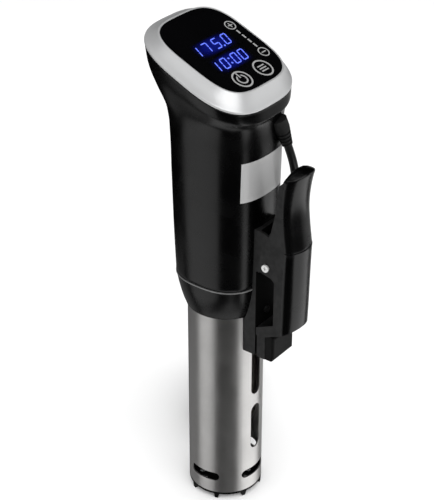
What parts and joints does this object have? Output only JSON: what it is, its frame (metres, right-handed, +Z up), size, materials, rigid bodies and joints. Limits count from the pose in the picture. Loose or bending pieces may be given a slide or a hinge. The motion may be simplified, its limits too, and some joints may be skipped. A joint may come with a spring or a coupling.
{
  "type": "immersion circulator",
  "caption": "Slotted steel tube under a black hand-sized housing with a sloped touch panel, a sprung pot clamp and a folded mains cord.",
  "frame": {"origin": "on the tube's axis, on the surface that the feet stand on", "axes": "+Z up the tube's axis; -Y towards the user, where the clamp and the low side of the sloped panel are; +X to the user's right, where the cord hangs"},
  "size_m": [0.1792, 0.1812, 0.4017],
  "materials": {
    "steel": "brushed round the tube",
    "heater_steel": "drawn",
    "screw_steel": "machined",
    "black_gloss": "satin gloss",
    "black_plastic": "matte",
    "clamp_grey": "satin",
    "grey_plastic": "matte",
    "silver_paint": "metallic silver",
    "silver_label": "satin silver film",
    "chrome_trim": "bright",
    "panel_glass": "black-backed glossy glass",
    "white_print": "printed",
    "blue_light": "lit",
    "circuit_board": "solder mask",
    "cast_laminate": "laminated",
    "aluminium": "extruded",
    "brass": "turned",
    "brass_blades": "stamped",
    "rubber": "matte",
    "cord_black": "satin vinyl"
  },
  "bodies": {
    "body": {"steel_sleeve": "steel", "lower_collar": "black_gloss", "seam_ring": "chrome_trim", "housing": "black_gloss", "bezel": "silver_paint", "touch_glass": "panel_glass", "panel_icons": "white_print", "display_digits": "blue_light", "display_module": "black_plastic", "control_board": "circuit_board", "board_posts": "black_plastic", "rating_plate": "silver_label", "bulkhead": "black_plastic", "bulkhead_seal": "rubber", "shaft_bush": "brass", "heater_coil": "heater_steel", "heater_nuts": "brass", "temperature_probe": "heater_steel", "level_probes": "heater_steel", "motor_bracket": "grey_plastic", "motor_screws": "screw_steel", "motor_can": "screw_steel", "power_board": "circuit_board", "transformer": "black_plastic", "relay": "grey_plastic", "capacitors": "screw_steel", "heatsink": "aluminium", "collar_screws": "screw_steel", "clamp_bracket": "clamp_grey", "bracket_screws": "screw_steel", "inner_jaw_pad": "rubber", "pivot_pin": "screw_steel", "pivot_screws": "screw_steel", "torsion_spring": "screw_steel", "cord_gland": "rubber", "power_cord": "cord_black", "cord_tie": "cord_black", "cord_hank": "cord_black", "plug_body": "cord_black", "plug_pins": "brass_blades"},
    "lever": {"clamp_lever": "clamp_grey", "lever_shell": "black_gloss", "lever_grip": "black_gloss", "jaw_block": "black_plastic", "outer_jaw_pad": "rubber"},
    "rotor": {"motor_shaft": "screw_steel", "impeller": "black_plastic", "shaft_coupling": "brass", "motor_armature": "cast_laminate", "cooling_fan": "black_plastic"},
    "cap": {"bottom_cap": "black_plastic"}
  },
  "joints": [
    {"name": "lever_pivot", "type": "hinge", "parent": "body", "child": "lever", "pos_m": [0, -0.0486, 0.2296], "axis": [-1, 0, 0], "range_deg": [0, 12], "stiffness_Nm_per_rad": 1.6, "springref_deg": -17.19},
    {"name": "rotor_spin", "type": "hinge", "parent": "body", "child": "rotor", "pos_m": [0, 0, 0.1], "axis": [0, 0, 1], "continuous": true},
    {"name": "cap_pull", "type": "slide", "parent": "body", "child": "cap", "axis": [0, 0, -1], "range_m": [0, 0.022]}
  ]
}
